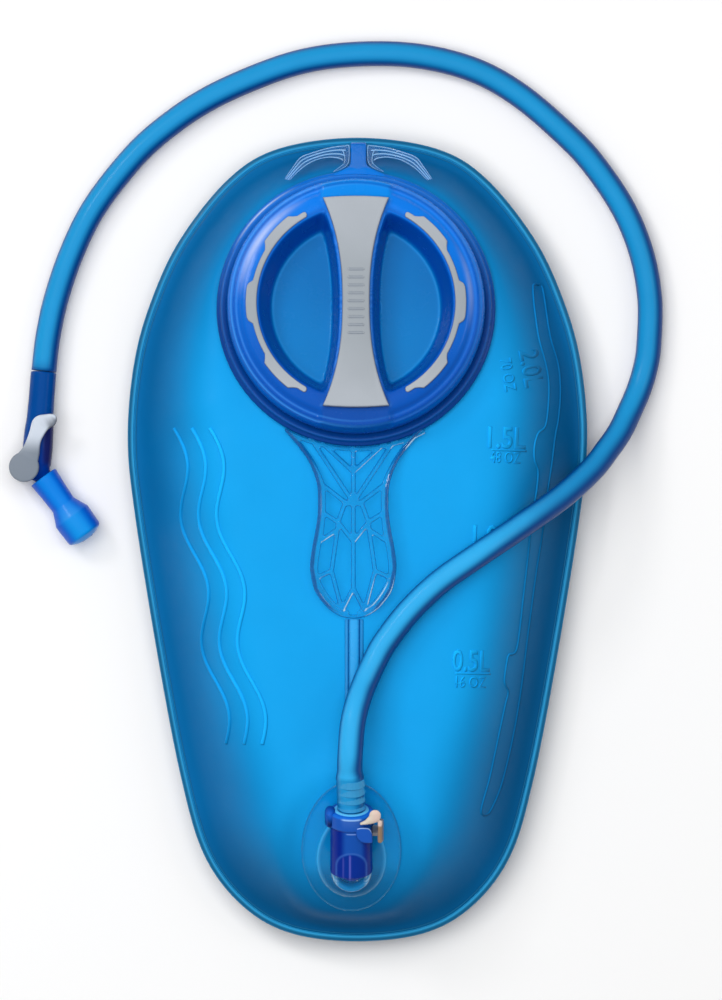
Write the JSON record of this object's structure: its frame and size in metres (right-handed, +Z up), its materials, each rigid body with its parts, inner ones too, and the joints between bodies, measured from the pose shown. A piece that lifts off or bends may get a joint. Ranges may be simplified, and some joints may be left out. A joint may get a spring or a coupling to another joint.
{
  "type": "hydration bladder",
  "caption": "Welded film water pouch with a tethered screw cap, a webbed carry handle and a drinking hose that ends in a shut-off lever and a bite valve.",
  "frame": {"origin": "on the surface that the bladder lies on, below the middle of the pouch", "axes": "+Y runs along the pouch towards the cap end, +Z up out of the face with the cap"},
  "size_m": [0.271, 0.3733, 0.0732],
  "materials": {
    "film_blue": "soft satin film",
    "rim_teal": "pressed weld, satin",
    "collar_blue": "moulded, gloss",
    "strip_blue": "moulded, satin",
    "cap_blue": "moulded, gloss",
    "grip_grey": "fine matt",
    "seal_grey": "matt",
    "clear_plastic": "clear flexible plastic",
    "link_navy": "moulded, gloss",
    "barb_blue": "moulded, satin",
    "button_tan": "moulded, satin",
    "spring_steel": "drawn wire",
    "hose_blue": "clear-tinted tube, satin",
    "lever_grey": "moulded, satin",
    "bite_blue": "soft silicone, satin"
  },
  "bodies": {
    "bladder": {"front_film": "film_blue", "back_film": "film_blue", "rim_weld": "rim_teal", "fill_collar": "collar_blue", "leash_tab": "cap_blue", "hanger_wing_left": "clear_plastic", "hanger_wing_right": "clear_plastic", "carry_handle": "clear_plastic", "spine_strip": "strip_blue", "exit_port": "clear_plastic", "port_o_ring": "seal_grey", "port_spring": "spring_steel", "quick_link_body": "link_navy", "hose_barb": "barb_blue", "hose": "hose_blue", "shutoff_body": "link_navy"},
    "cap_ring": {"cap_leash_ring": "cap_blue"},
    "cap": {"cap_shell": "cap_blue", "cap_gasket": "seal_grey", "cap_grip_bar": "grip_grey", "cap_grip_arc_left": "grip_grey", "cap_grip_arc_right": "grip_grey"},
    "button": {"release_button": "button_tan", "latch_plate": "grip_grey", "button_spring": "spring_steel"},
    "poppet": {"port_poppet": "grip_grey"},
    "lever": {"shutoff_lever": "lever_grey", "valve_core": "grip_grey", "core_o_ring": "seal_grey"},
    "mouth": {"bite_valve": "bite_blue"}
  },
  "joints": [
    {"name": "cap_lift", "type": "slide", "parent": "bladder", "child": "cap_ring", "axis": [0, 0.1478, 0.989], "range_m": [0, 0.03]},
    {"name": "cap_turn", "type": "hinge", "parent": "cap_ring", "child": "cap", "pos_m": [-0.0006, 0.0948, 0.043], "axis": [0, 0.1478, 0.989], "range_deg": [0, 90]},
    {"name": "button_press", "type": "slide", "parent": "bladder", "child": "button", "axis": [-1, 0, 0], "range_m": [0, 0.0015], "stiffness_N_per_m": 600, "springref_m": -0.001},
    {"name": "poppet_press", "type": "slide", "parent": "bladder", "child": "poppet", "axis": [0, -0.9272, -0.3746], "range_m": [0, 0.0015], "stiffness_N_per_m": 300, "springref_m": -0.001},
    {"name": "lever_turn", "type": "hinge", "parent": "bladder", "child": "lever", "pos_m": [-0.1381, 0.0301, 0.0158], "axis": [0, 0, 1], "range_deg": [0, 90]},
    {"name": "bite_valve_turn", "type": "hinge", "parent": "bladder", "child": "mouth", "pos_m": [-0.1312, 0.027, 0.0084], "axis": [0.5879, -0.8089, 0], "continuous": true}
  ]
}
